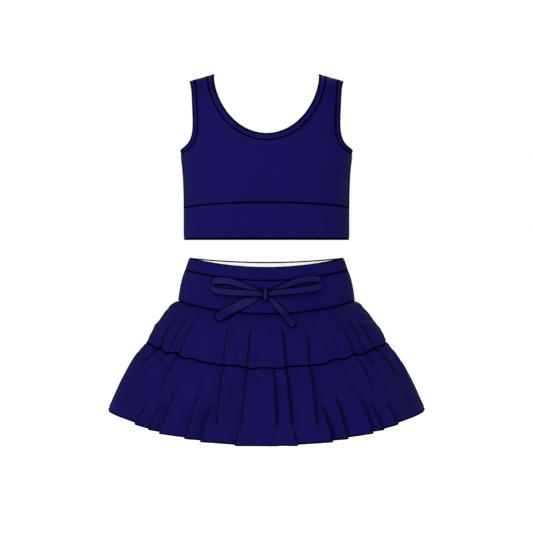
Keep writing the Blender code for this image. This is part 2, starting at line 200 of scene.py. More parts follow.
def smooth_interp(value, xs, ys):
    """Cubic interpolation that never overshoots its points."""
    steps = np.diff(xs)
    slopes = np.diff(ys) / steps
    tangents = np.empty(len(ys))
    tangents[0], tangents[-1] = slopes[0], slopes[-1]
    product = slopes[:-1] * slopes[1:]
    total = np.where(product > 0, slopes[:-1] + slopes[1:], 1.0)
    tangents[1:-1] = np.where(product > 0, 2 * product / total, 0.0)
    i = np.clip(np.searchsorted(xs, value) - 1, 0, len(xs) - 2)
    t = np.clip((value - xs[i]) / steps[i], 0.0, 1.0)
    start = ys[i] * (1 + 2 * t) * (1 - t) ** 2 + steps[i] * tangents[i] * t * (1 - t) ** 2
    return start + ys[i + 1] * t * t * (3 - 2 * t) + steps[i] * tangents[i + 1] * t * t * (t - 1)


def unit(vectors):
    length = np.linalg.norm(vectors, axis=-1, keepdims=True)
    return vectors / np.maximum(length, 1e-12)


def waves(turn, counts, first):
    """A periodic unevenness round the body, the same for every piece that shares its phases."""
    return sum(np.cos(n * turn + WAVE_PHASES[first + i]) for i, n in enumerate(counts)) / len(counts)


def path_lengths(path):
    return np.r_[0, np.cumsum(np.linalg.norm(np.diff(path, axis=0), axis=1))]


def resample(path, spacing, closed=False):
    """Points at even distances along a path."""
    if closed:
        path = np.vstack([path, path[:1]])
    lengths = path_lengths(path)
    count = max(int(round(lengths[-1] / spacing)), 2)
    wanted = np.linspace(0, lengths[-1], count + 1)[:-1 if closed else None]
    return np.stack([np.interp(wanted, lengths, path[:, k]) for k in range(3)], axis=1)


def path_directions(path, closed):
    if closed:
        return unit(np.roll(path, -1, axis=0) - np.roll(path, 1, axis=0))
    return unit(np.gradient(path, axis=0))


def grid_normals(points):
    """Outward normals of a grid whose rows run down and whose columns run towards +angle."""
    return unit(np.cross(np.gradient(points, axis=0), np.gradient(points, axis=1)))


def cloth_lengths(points):
    """(along, down) distances in the cloth, for its UVs."""
    along = np.linalg.norm(np.diff(points, axis=1), axis=2)
    along = np.concatenate([np.zeros((len(points), 1)), np.cumsum(along, axis=1)], axis=1)
    along -= along[:, -1:] / 2
    down = np.linalg.norm(np.diff(points, axis=0), axis=2).mean(axis=1)
    down = np.broadcast_to(np.r_[0, np.cumsum(down)][:, None], along.shape)
    return np.stack([along, down], axis=-1)


# ---------------------------------------------------------------- meshes


def mesh_object(name, vertices, faces, uv=None, **layers):
    """A smooth-shaded object. Faces are quads, or triangles that repeat their last corner."""
    corners = [face if face[2] != face[3] else face[:3] for face in np.asarray(faces).tolist()]
    mesh = bpy.data.meshes.new(name)
    mesh.from_pydata(np.asarray(vertices).tolist(), [], corners)
    mesh.shade_smooth()
    if uv is not None:
        numbers = np.empty(len(mesh.loops), np.int32)
        mesh.loops.foreach_get("vertex_index", numbers)
        layer = mesh.uv_layers.new(name="cloth")
        layer.data.foreach_set("uv", np.asarray(uv, np.float32)[numbers].ravel())
    for label, values in layers.items():
        attribute = mesh.attributes.new(label, "FLOAT", "POINT")
        attribute.data.foreach_set("value", np.asarray(values, np.float32))
    obj = bpy.data.objects.new(name, mesh)
    bpy.context.scene.collection.objects.link(obj)
    return obj


def grid_faces(rows, columns, wrap_rows=False, wrap_columns=False):
    index = np.arange(rows * columns).reshape(rows, columns)
    if wrap_rows:
        index = np.vstack([index, index[:1]])
    if wrap_columns:
        index = np.hstack([index, index[:, :1]])
    corners = (index[:-1, :-1], index[1:, :-1], index[1:, 1:], index[:-1, 1:])
    return np.stack(corners, axis=-1).reshape(-1, 4)


def vertex_normals(points, faces):
    normals = np.zeros_like(points)
    face_normals = np.cross(points[faces[:, 2]] - points[faces[:, 0]],
                            points[faces[:, 3]] - points[faces[:, 1]])
    triangles = faces[:, 2] == faces[:, 3]
    face_normals[triangles] = np.cross(points[faces[triangles, 1]] - points[faces[triangles, 0]],
                                       points[faces[triangles, 2]] - points[faces[triangles, 0]])
    for corner in range(4):
        np.add.at(normals, faces[:, corner], face_normals)
    return unit(normals)


def shell_object(name, points, faces, thickness, uv, rim_steps=2, **layers):
    """A closed sheet of cloth with rounded edges. Points are its outer face."""
    points, uv = points.reshape(-1, 3), uv.reshape(-1, 2)
    normals = vertex_normals(points, faces)
    count = len(points)
    starts = faces.ravel()
    ends = np.roll(faces, -1, axis=1).ravel()
    real = starts != ends
    starts, ends = starts[real], ends[real]
    edge = ~np.isin(starts * count + ends, ends * count + starts)
    starts, ends = starts[edge], ends[edge]

    outward = np.zeros_like(points)
    sideways = np.cross(points[ends] - points[starts], normals[starts])
    np.add.at(outward, starts, sideways)
    np.add.at(outward, ends, sideways)
    rim = np.unique(starts)
    outward = unit(outward[rim])
    place = np.zeros(count, int)
    place[rim] = np.arange(len(rim))

    vertices = [points, points - normals * thickness]
    numbers = [np.arange(count)]
    for step in range(1, rim_steps + 1):
        turn = math.pi * step / (rim_steps + 1)
        lift = normals[rim] * (math.cos(turn) - 1) + outward * math.sin(turn)
        vertices.append(points[rim] + lift * thickness / 2)
        ring = np.zeros(count, int)
        ring[rim] = 2 * count + (step - 1) * len(rim) + np.arange(len(rim))
        numbers.append(ring)
    numbers.append(np.arange(count) + count)
    all_faces = [faces, faces[:, [1, 0, 3, 2]] + count]
    flipped = all_faces[1]
    flipped[faces[:, 2] == faces[:, 3]] = faces[faces[:, 2] == faces[:, 3]][:, [2, 1, 0, 0]] + count
    for near, far in zip(numbers, numbers[1:]):
        all_faces.append(np.stack([near[ends], near[starts], far[starts], far[ends]], axis=1))
    repeats = [slice(None), slice(None)] + [rim] * rim_steps
    layers = {label: np.concatenate([values.ravel()[r] for r in repeats])
              for label, values in layers.items()}
    return mesh_object(name, np.vstack(vertices), np.vstack(all_faces),
                       np.vstack([uv[r] for r in repeats]), **layers)


def tube_object(name, path, sideways, upwards, closed, sizes, sides=6):
    """A solid cord along a path. Sizes holds its half width and half height at every point."""
    rows = []
    for i in range(sides):
        turn = 2 * math.pi * i / sides
        rows.append(path + sideways * sizes[:, :1] * math.cos(turn)
                    + upwards * sizes[:, 1:] * math.sin(turn))
    points = np.array(rows)
    columns = len(path)
    faces = grid_faces(sides, columns, wrap_rows=True, wrap_columns=closed)
    vertices = points.reshape(-1, 3)
    lengths = path_lengths(path)
    uv = np.stack(np.broadcast_arrays(lengths[None], np.arange(sides)[:, None] * 0.0005), axis=-1)
    uv = uv.reshape(-1, 2)
    if not closed:
        first = np.arange(sides) * columns
        ends = []
        for ring, turn in ((first, 1), (first + columns - 1, -1)):
            middle = len(vertices)
            vertices = np.vstack([vertices, vertices[ring].mean(axis=0)])
            uv = np.vstack([uv, uv[ring[0]]])
            beside = np.roll(ring, -turn)
            ends.append(np.stack([beside, ring, np.full(sides, middle), np.full(sides, middle)], axis=1))
        faces = np.vstack([faces] + ends)
    return mesh_object(name, vertices, faces, uv)


def stitched_cord(name, path, normals, closed, width=CORD_WIDTH, height=CORD_HEIGHT):
    """A line of chain stitches: a flat cord that swells at each stitch."""
    lengths = path_lengths(np.vstack([path, path[:1]]) if closed else path)
    source = np.vstack([normals, normals[:1]]) if closed else normals
    path = resample(path, STITCH / 3, closed)
    wanted = np.linspace(0, lengths[-1], len(path) + 1)[:-1] if closed else path_lengths(path)
    upwards = unit(np.stack([np.interp(wanted, lengths, source[:, k]) for k in range(3)], axis=1))
    sideways = unit(np.cross(upwards, path_directions(path, closed)))
    swell = 1 + 0.16 * np.cos(2 * math.pi * np.arange(len(path)) / 3)
    sizes = np.stack([swell * width / 2, swell * height / 2], axis=1)
    return tube_object(name, path, sideways, upwards, closed, sizes)


# ---------------------------------------------------------------- materials


class Shader:
    """Builds one node material, with short names for the nodes that cloth needs."""

    def __init__(self, name):
        self.material = bpy.data.materials.new(name)
        self.material.use_nodes = True
        self.tree = self.material.node_tree
        self.surface = self.tree.nodes["Principled BSDF"]

    def node(self, kind, **settings):
        made = self.tree.nodes.new("ShaderNode" + kind)
        for label, value in settings.items():
            setattr(made, label, value)
        return made

    def put(self, socket, value):
        if isinstance(value, bpy.types.NodeSocket):
            self.tree.links.new(value, socket)
        else:
            socket.default_value = value

    def math(self, operation, first, second=0.0):
        made = self.node("Math", operation=operation)
        self.put(made.inputs[0], first)
        self.put(made.inputs[1], second)
        return made.outputs[0]

    def spread(self, value, low, high):
        """Turns a value between 0 and 1 into one between low and high."""
        made = self.node("MapRange")
        self.put(made.inputs["Value"], value)
        made.inputs["To Min"].default_value = low
        made.inputs["To Max"].default_value = high
        return made.outputs[0]

    def mix(self, blend, share, first, second):
        made = self.node("Mix", data_type="RGBA", blend_type=blend)
        self.put(made.inputs[0], share)
        self.put(made.inputs[6], first)
        self.put(made.inputs[7], second)
        return made.outputs[2]

    def noise(self, vector, features, detail=2.0):
        """Soft noise with this many features to the metre."""
        made = self.node("TexNoise")
        self.put(made.inputs["Vector"], vector)
        made.inputs["Scale"].default_value = features
        made.inputs["Detail"].default_value = detail
        return made.outputs[0]

    def bands(self, vector, direction, period, waver=0.0):
        """Even bands across U (X) or V (Y), a period apart."""
        made = self.node("TexWave", bands_direction=direction)
        self.put(made.inputs["Vector"], vector)
        made.inputs["Scale"].default_value = 2 * math.pi / 20 / period
        made.inputs["Distortion"].default_value = waver
        made.inputs["Detail"].default_value = 1.0
        made.inputs["Detail Scale"].default_value = 3.0
        return made.outputs["Fac"]

    def bump(self, height, depth, strength, below=None):
        made = self.node("Bump")
        made.inputs["Strength"].default_value = strength
        made.inputs["Distance"].default_value = depth
        self.put(made.inputs["Height"], height)
        if below is not None:
            self.put(made.inputs["Normal"], below)
        return made.outputs[0]


def cloth_material(name, colour, roughness, wale, course, depth, sheen, specular=0.035, edge=0.8,
                   variation=0.08, crease=False, painted_glow=0.0):
    """Cloth whose weave or knit repeats every wale (across) and course (down).

    Edge is how much painted shade darkens it where it turns away from the eye, and the crease
    shade option adds painted shade where the mesh says that it folds. Glow is painted light: an
    emission that keeps cloth bright where it lies in shade.
    """
    shader = Shader(name)
    place = shader.node("TexCoord")
    uv, world = place.outputs["UV"], place.outputs["Object"]
    wales = shader.bands(uv, "X", wale, 0.6)
    courses = shader.bands(uv, "Y", course, 0.6)
    yarn = shader.math("MULTIPLY", wales, shader.spread(courses, 0.45, 1.0))
    fibres = shader.noise(uv, 2600.0, 3.0)
    soft = shader.noise(world, 26.0, 3.0)
    fine = shader.noise(world, 240.0, 2.0)

    shade = shader.math("MULTIPLY", shader.spread(soft, 1 - variation, 1 + variation),
                        shader.spread(fine, 1 - variation, 1 + variation))
    shade = shader.math("MULTIPLY", shade, shader.spread(fibres, 0.93, 1.07))
    shade = shader.math("MULTIPLY", shade, shader.spread(yarn, 0.86, 1.06))
    facing = shader.node("LayerWeight")
    facing.inputs["Blend"].default_value = 0.35
    turned = shader.math("POWER", facing.outputs["Facing"], 3.0)
    # Painted shade towards the silhouettes: the cloth darkens where it turns away from the eye
    shade = shader.math("MULTIPLY", shade, shader.spread(turned, 1.0, 1.0 - edge))
    # Painted shade along the folds: the mesh's crease shade attribute darkens the cloth almost to black
    if crease:
        folded = shader.node("Attribute", attribute_name="crease").outputs["Fac"]
        shade = shader.math("MULTIPLY", shade, shader.spread(folded, 1.0, 0.03))
    tint = shader.node("CombineColor")
    for channel in range(3):
        shader.put(tint.inputs[channel], shader.math("MULTIPLY", shade, colour[channel]))
    shader.put(shader.surface.inputs["Base Color"], tint.outputs[0])
    shader.put(shader.surface.inputs["Roughness"], shader.spread(fine, roughness - 0.06, roughness + 0.06))
    shader.put(shader.surface.inputs["Specular IOR Level"], shader.spread(turned, specular, specular * (1 - edge)))
    shader.put(shader.surface.inputs["Sheen Weight"], shader.spread(turned, sheen, sheen * (1 - edge)))
    shader.surface.inputs["Sheen Roughness"].default_value = 0.45
    shader.surface.inputs["Sheen Tint"].default_value = (*[min(1.0, 3 * c + 0.1) for c in colour], 1.0)
    # Painted light: an emission in the cloth's own colour that brightens it where it lies in shade
    if painted_glow:
        shader.surface.inputs["Emission Color"].default_value = (*colour, 1.0)
        shader.surface.inputs["Emission Strength"].default_value = painted_glow
    weave = shader.bump(yarn, depth, 0.55)
    fuzz = shader.bump(fibres, depth * 0.4, 0.35, weave)
    shader.put(shader.surface.inputs["Normal"], shader.bump(soft, 0.0012, 0.25, fuzz))
    return shader.material


def make_materials():
    return {
        "knit": cloth_material("knit_jersey", NAVY, 0.80, 0.0013, 0.0010, 0.00022, 0.02),
        "binding": cloth_material("ribbed_binding", NAVY, 0.78, 0.0016, 0.0030, 0.00030, 0.02),
        # The skirt cloth and the ribbon take painted crease shade from their meshes
        "skirt_cloth": cloth_material("skirt_cloth", NAVY, 0.74, 0.0010, 0.0010, 0.00018, 0.02,
                                      crease=True),
        "ribbon": cloth_material("grosgrain_ribbon", NAVY, 0.55, 0.0012, 0.0300, 0.00020, 0.03,
                                 specular=0.07, crease=True),
        # Painted light: the white elastic glows so that it stays bright where it lies in shade inside the waist
        # and under the top
        "elastic": cloth_material("ribbed_elastic", WHITE, 0.75, 0.0021, 0.0016, 0.00050, 0.05,
                                  edge=0.1, variation=0.02, painted_glow=0.62),
        # Painted light: the label glows a little so that it stays pale in shade
        "label": cloth_material("label_satin", WHITE, 0.42, 0.0005, 0.0004, 0.00008, 0.05,
                                specular=0.5, edge=0.1, variation=0.01, painted_glow=0.15),
        "thread": cloth_material("black_thread", BLACK, 0.60, 0.0008, 0.0008, 0.00010, 0.0,
                                 specular=0.0, edge=0.2),
    }


MATERIALS = make_materials()


def finish_piece(obj, material, nodes=()):
    """Gives a piece its material and slot, and hides the CAD nodes that it stands for."""
    obj.data.materials.append(MATERIALS[material])
    if nodes:
        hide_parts(*nodes)
    return obj


def ride_on(obj, body, material, nodes=()):
    finish_piece(obj, material, nodes)
    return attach(obj, body)


# ---------------------------------------------------------------- crop top


def top_half_sizes(height):
    heights = TOP_SECTIONS[:, 0]
    return [smooth_interp(height, heights, TOP_SECTIONS[:, k]) for k in (1, 2)]


def top_point(angle, height):
    half_width, half_depth = top_half_sizes(height)
    x = half_width * signed_power(np.cos(angle), 2 / SECTION_POWER)
    y = half_depth * signed_power(np.sin(angle), 2 / SECTION_POWER)
    return np.stack(np.broadcast_arrays(x, y, height), axis=-1)


def top_level(points):
    """Zero on the surface of the top, and positive outside it."""
    half_width, half_depth = top_half_sizes(points[..., 2])
    return (np.abs(points[..., 0] / half_width) ** SECTION_POWER
            + np.abs(points[..., 1] / half_depth) ** SECTION_POWER - 1)


def onto_top(points):
    """The nearest points on the surface of the top, and its normals there."""
    step = 1e-5
    for _ in range(8):
        slopes = np.stack([(top_level(points + axis) - top_level(points - axis)) / (2 * step)
                           for axis in np.eye(3) * step], axis=-1)
        size = np.sum(slopes * slopes, axis=-1, keepdims=True)
        points = points - slopes * top_level(points)[..., None] / size
    return points, unit(slopes)


def neck_level(points, margin):
    """Negative inside the neck opening, grown by a margin."""
    growth = 1 + NECK_BACK_GROWTH * np.maximum(points[..., 1], 0.0)
    across = points[..., 0] / (NECK_HALF_WIDTH * growth + margin)
    up = (points[..., 2] - NECK_CENTRE_HEIGHT) / (NECK_HALF_HEIGHT * growth + margin)
    return np.hypot(across, up) - 1


def arm_level(points, margin):
    """Negative inside an armhole, grown by a margin, which is narrower under the arm."""
    up = points[..., 2] - ARM_CENTRE_HEIGHT
    across = np.abs(points[..., 0]) - ARM_CENTRE_X - ARM_LEAN * up
    tall = ARM_HALF_HEIGHT + margin * np.where(up < 0, UNDERARM_SHARE, 1.0)
    total = (np.abs(across / (ARM_HALF_WIDTH + margin)) ** ARM_POWER
             + np.abs(up / tall) ** ARM_POWER)
    return total ** (1 / ARM_POWER) - 1


def neck_path(margin):
    """The line round the neck at a margin from its edge."""
    angle = np.linspace(0, 2 * math.pi, 3600, endpoint=False)
    low = np.full(angle.shape, TOP_SECTIONS[1, 0])
    high = np.full(angle.shape, TOP_SECTIONS[-1, 0])
    for _ in range(40):
        middle = (low + high) / 2
        cloth = neck_level(top_point(angle, middle), margin) > 0
        low, high = np.where(cloth, middle, low), np.where(cloth, high, middle)
    return top_point(angle, low)


def arm_path(side, margin):
    """The line round an armhole at a margin from its edge, front first."""

    def outline(turn):
        across = (ARM_HALF_WIDTH + margin) * signed_power(np.cos(turn), 2 / ARM_POWER)
        tall = ARM_HALF_HEIGHT + margin * np.where(np.sin(turn) < 0, UNDERARM_SHARE, 1.0)
        up = tall * signed_power(np.sin(turn), 2 / ARM_POWER)
        return ARM_CENTRE_X + across + ARM_LEAN * up, ARM_CENTRE_HEIGHT + up

    def limit(inside, outside):
        for _ in range(60):
            middle = (inside + outside) / 2
            x, z = outline(middle)
            if x < top_half_sizes(np.array(z))[0]:
                inside = middle
            else:
                outside = middle
        return inside

    top, bottom = limit(math.pi, math.pi / 4), limit(math.pi, 7 * math.pi / 4)
    share = (1 - np.cos(np.linspace(0, math.pi, 900))) / 2
    x, z = outline(top + (bottom - top) * share)
    half_width, half_depth = top_half_sizes(z)
    y = half_depth * np.maximum(1 - (x / half_width) ** SECTION_POWER, 0.0) ** (1 / SECTION_POWER)
    front = np.stack([side * x, -y, z], axis=1)
    back = np.stack([side * x, y, z], axis=1)[::-1]
    return np.vstack([front, back[1:-1]])


def band_seam_height(angle):
    """The seam below the bust rises a little towards the middle of the front."""
    forward = np.clip(-np.sin(angle), 0.0, 1.0)
    return BAND_SEAM_HEIGHT - BAND_SEAM_DROP + BAND_SEAM_RISE * forward ** 2


def hem_height(angle):
    """The hem of the top hangs a little lower at the front."""
    return TOP_HEM + 0.0009 + HEM_RISE * np.clip(np.sin(angle), 0.0, 1.0)


def trimmed(points, keep):
    """A grid cut off where keep is negative: corners near the cut move onto it.

    Returns the moved points and the faces that are left.
    """
    moved, level = points.copy(), keep.copy()
    nearest = np.full(keep.shape, 9.0)
    rows, columns = keep.shape
    for down, along in ((1, 0), (-1, 0), (0, 1), (0, -1)):
        here = (slice(max(-down, 0), rows - max(down, 0)), slice(max(-along, 0), columns - max(along, 0)))
        there = (slice(max(down, 0), rows + min(down, 0)), slice(max(along, 0), columns + min(along, 0)))
        crosses = keep[here] * keep[there] < 0
        share = np.where(crosses, keep[here] / np.where(crosses, keep[here] - keep[there], 1.0), 9.0)
        take = (share <= 0.5) & (share < nearest[here])
        target = points[here] + (points[there] - points[here]) * share[..., None]
        moved[here] = np.where(take[..., None], target, moved[here])
        level[here] = np.where(take, 0.0, level[here])
        nearest[here] = np.where(take, share, nearest[here])
    faces = grid_faces(rows, columns)
    corner = level.ravel()[faces]
    out = corner < 0
    whole = faces[~out.any(axis=1) & (corner.sum(axis=1) > 0)]
    cut = faces[(out.sum(axis=1) == 1) & (corner.max(axis=1) > 0)]
    skip = out[(out.sum(axis=1) == 1) & (corner.max(axis=1) > 0)].argmax(axis=1)
    rest = np.stack([cut[np.arange(len(cut)), (skip + k) % 4] for k in (1, 2, 3, 3)], axis=1)
    return moved, np.vstack([whole, rest])


def used_only(points, uv, faces):
    """Drops the points that no face uses."""
    used = np.unique(faces)
    place = np.zeros(len(points), int)
    place[used] = np.arange(len(used))
    return points[used], uv[used], place[faces]


def add_top_panel(name, start):
    """The front or the back of the bodice, cut off inside its bindings."""
    columns = 130
    angle = np.linspace(start, start + math.pi, columns)
    heights = np.linspace(BAND_SEAM_HEIGHT, TOP_SECTIONS[-1, 0], 600)
    sizes = top_half_sizes(heights)
    lengths = path_lengths(np.stack([heights, *sizes], axis=1))
    share = np.interp(np.linspace(lengths[-1], 0, 110), lengths, heights)
    share = (share - heights[0]) / (heights[-1] - heights[0])
    seam = band_seam_height(angle)[None]
    height = seam + (TOP_SECTIONS[-1, 0] - seam) * share[:, None]
    points = top_point(np.broadcast_to(angle, height.shape), height)
    ease = 0.0010 * (waves(angle[None] + 2 * height, (4, 7, 9), 0) - 1) / 2
    points = points + grid_normals(points) * (ease * smooth_step(0.56, 0.50, height))[..., None]
    keep = np.minimum(
        NECK_HALF_WIDTH * neck_level(points, NECK_BINDING_WIDTH - BINDING_OVERLAP),
        ARM_HALF_WIDTH * arm_level(points, ARM_BINDING_WIDTH - BINDING_OVERLAP),
    )
    uv = cloth_lengths(points)
    points, faces = trimmed(points, keep)
    points, uv, faces = used_only(points.reshape(-1, 3), uv.reshape(-1, 2), faces)
    panel = shell_object(name, points, faces, KNIT, uv)
    return ride_on(panel, "top", "knit", [name.replace("cloth", "panel")])


def add_binding(name, node, path, width):
    """A folded strip along a closed edge, as wide as width says at each of its points.

    Its section is flat and rounded, and holds the panel's edge inside it.
    """
    edge, normals = onto_top(path)
    along = path_directions(edge, closed=True)
    inwards = unit(np.cross(normals, along))
    opening = edge.mean(axis=0)
    if np.sum((edge - opening) * inwards) < 0:
        inwards = -inwards
    half_thickness = (KNIT + 0.0012) / 2
    rows = []
    for i in range(20):
        turn = 2 * math.pi * i / 20
        across = (width / 2 * (1 - signed_power(math.cos(turn), 0.62)))[:, None]
        lift = half_thickness * signed_power(math.sin(turn), 0.62)
        on, normal = onto_top(edge + inwards * across)
        rows.append(on + normal * (lift - KNIT / 2))
    points = np.array(rows)
    if np.sum(np.cross(np.roll(points, -1, axis=0) - points, along) * normals) < 0:
        points = points[::-1]
    uv = np.stack(np.broadcast_arrays(path_lengths(edge)[None],
                                      np.linspace(0, 2 * width.max(), 20)[:, None]), axis=-1)
    faces = grid_faces(20, len(edge), wrap_rows=True, wrap_columns=True)
    strip = mesh_object(name, points.reshape(-1, 3), faces, uv.reshape(-1, 2))
    return ride_on(strip, "top", "binding", [node])


def add_top():
    for half, start in (("front", -math.pi), ("back", 0.0)):
        add_top_panel(f"top_{half}_cloth", start)
    edge = resample(neck_path(0.0), BINDING_STEP, closed=True)
    add_binding("neck_binding_cloth", "neck_binding", edge, np.full(len(edge), NECK_BINDING_WIDTH))
    seam, normals = onto_top(resample(neck_path(NECK_BINDING_WIDTH), STITCH / 2, closed=True))
    ride_on(stitched_cord("neck_seam", seam + normals * 0.0003, normals, True), "top", "thread")
    edge, normals = onto_top(resample(neck_path(-EDGE_PROUD), STITCH / 2, closed=True))
    ride_on(stitched_cord("neck_edge", edge, normals, True, *EDGE_CORD), "top", "thread")
    for label, side in (("left", 1), ("right", -1)):
        node = f"armhole_binding_{label}"
        edge = resample(arm_path(side, 0.0), BINDING_STEP, closed=True)
        low = smooth_step(-0.3, -0.95, (edge[:, 2] - ARM_CENTRE_HEIGHT) / ARM_HALF_HEIGHT)
        add_binding(f"{node}_cloth", node, edge, ARM_BINDING_WIDTH * (1 + (UNDERARM_SHARE - 1) * low))
        seam, normals = onto_top(resample(arm_path(side, ARM_BINDING_WIDTH), STITCH / 2, closed=True))
        ride_on(stitched_cord(f"armhole_seam_{label}", seam + normals * 0.0003, normals, True),
                "top", "thread")
        edge, normals = onto_top(resample(arm_path(side, -EDGE_PROUD), STITCH / 2, closed=True))
        ride_on(stitched_cord(f"armhole_edge_{label}", edge, normals, True, *EDGE_CORD),
                "top", "thread")
        for name, low, high in (("side", TOP_HEM + 0.003, SIDE_SEAM_TOP), ("shoulder", *SHOULDER_SEAM)):
            height = np.linspace(low, high, 60)
            path, normals = onto_top(top_point(np.full(60, math.pi * (side < 0)), height))
            ride_on(stitched_cord(f"top_{name}_seam_{label}", path, normals, False, *SIDE_CORD),
                    "top", "thread")
    add_underband()


def add_underband():
    rows = 20
    for half, start in (("front", -math.pi), ("back", 0.0)):
        angle = np.broadcast_to(np.linspace(start, start + math.pi, 130), (rows, 130))
        share = np.linspace(0, 1, rows)[:, None]
        seam = band_seam_height(angle)
        height = seam + (hem_height(angle) - seam) * share
        points = top_point(angle, height)
        crown = 0.0006 * np.sin(math.pi * share) + 0.0002
        points = points + grid_normals(points) * crown[..., None]
        band = shell_object(f"underband_{half}_cloth", points, grid_faces(rows, 130), FOLDED_BAND,
                            cloth_lengths(points), rim_steps=3)
        ride_on(band, "top", "knit", [f"underband_{half}"])
    angle = np.linspace(0, 2 * math.pi, 900, endpoint=False)
    seam, normals = onto_top(top_point(angle, band_seam_height(angle)))
    ride_on(stitched_cord("underbust_seam", seam + normals * 0.0005, normals, True), "top",
            "thread")
    hem, normals = onto_top(top_point(angle, hem_height(angle) - 0.0004))
    ride_on(stitched_cord("top_hem_edge", hem + normals * 0.0001, normals, True, *HEM_CORD),
            "top", "thread")


# ---------------------------------------------------------------- skirt surface


def skirt_values(position):
    """(half width, half depth, side height, front dip, back dip) at a position in SKIRT_LINES."""
    position = np.asarray(position, float)
    values = np.empty(position.shape + (5,))
    for first, last in SMOOTH_RUNS:
        inside = (position >= first) & (position <= last)
        lines = np.arange(first, last + 1)
        for k in range(5):
            values[inside, k] = smooth_interp(position[inside], lines, SKIRT_LINES[first:last + 1, k])
    return values


def skirt_point(angle, position):
    half_width, half_depth, height, front_dip, back_dip = np.moveaxis(skirt_values(position), -1, 0)
    dip = np.where(np.sin(angle) < 0, front_dip, back_dip)
    return np.stack([half_width * np.cos(angle), half_depth * np.sin(angle),
                     height - dip * np.sin(angle) ** 2], axis=-1)


def skirt_front_y(x, height):
    """Where the front surface of the skirt is, at x and a height, for arrays."""
    low = np.zeros(np.shape(x))
    high = np.full(np.shape(x), float(HEM))
    for _ in range(40):
        middle = (low + high) / 2
        values = skirt_values(middle)
        share = 1 - np.minimum(np.abs(x) / values[..., 0], 0.99) ** 2
        above = values[..., 2] - values[..., 3] * share > height
        low, high = np.where(above, middle, low), np.where(above, high, middle)
    values = skirt_values(low)
    return -values[..., 1] * np.sqrt(1 - np.minimum(np.abs(x) / values[..., 0], 0.99) ** 2)


def position_at(level):
    """Position in SKIRT_LINES at a level: 0 at the yoke seam, 1 at the tier seam, 2 at the hem."""
    positions = np.linspace(YOKE_SEAM, HEM, 400)
    heights = skirt_values(positions)[:, 2]
    ends = SKIRT_LINES[[YOKE_SEAM, TIER_SEAM, HEM], 2]
    wanted = np.interp(level, (0, 1, 2), ends)
    return np.interp(-wanted, -heights, positions)


# ---------------------------------------------------------------- tiers


def all_folds():
    """Every fold as (start angle, end angle, start, end, strength, side), round the whole skirt."""
    folds = [(*MIDDLE_FOLD, 1)]
    for side in (1, -1):
        folds += [(side * a, side * b, start, end, strength, side)
                  for a, b, start, end, strength in FOLDS]
    for side in (1, -1):
        for a, b, start, end, strength in FOLDS + BACK_FOLDS:
            shift = rng.uniform(-2.2, 2.2)
            early = rng.uniform(-0.06, 0.06) * (start > 0.2)
            folds.append((180 - side * (a + shift), 180 - side * (b + shift), start + early, end,
                          strength * rng.uniform(0.8, 1.15), -side))
    return [(math.radians(a), math.radians(b), *rest) for a, b, *rest in folds]


TIER_FOLDS = all_folds()


def fold_angle(fold, level):
    share = np.clip((level - fold[2]) / (fold[3] - fold[2]), 0.0, 1.0)
    return fold[0] + (fold[1] - fold[0]) * smooth_step(0.0, 1.0, share) * 0.5 + \
        (fold[1] - fold[0]) * share * 0.5


def wrapped(angle):
    return (angle + math.pi) % (2 * math.pi) - math.pi


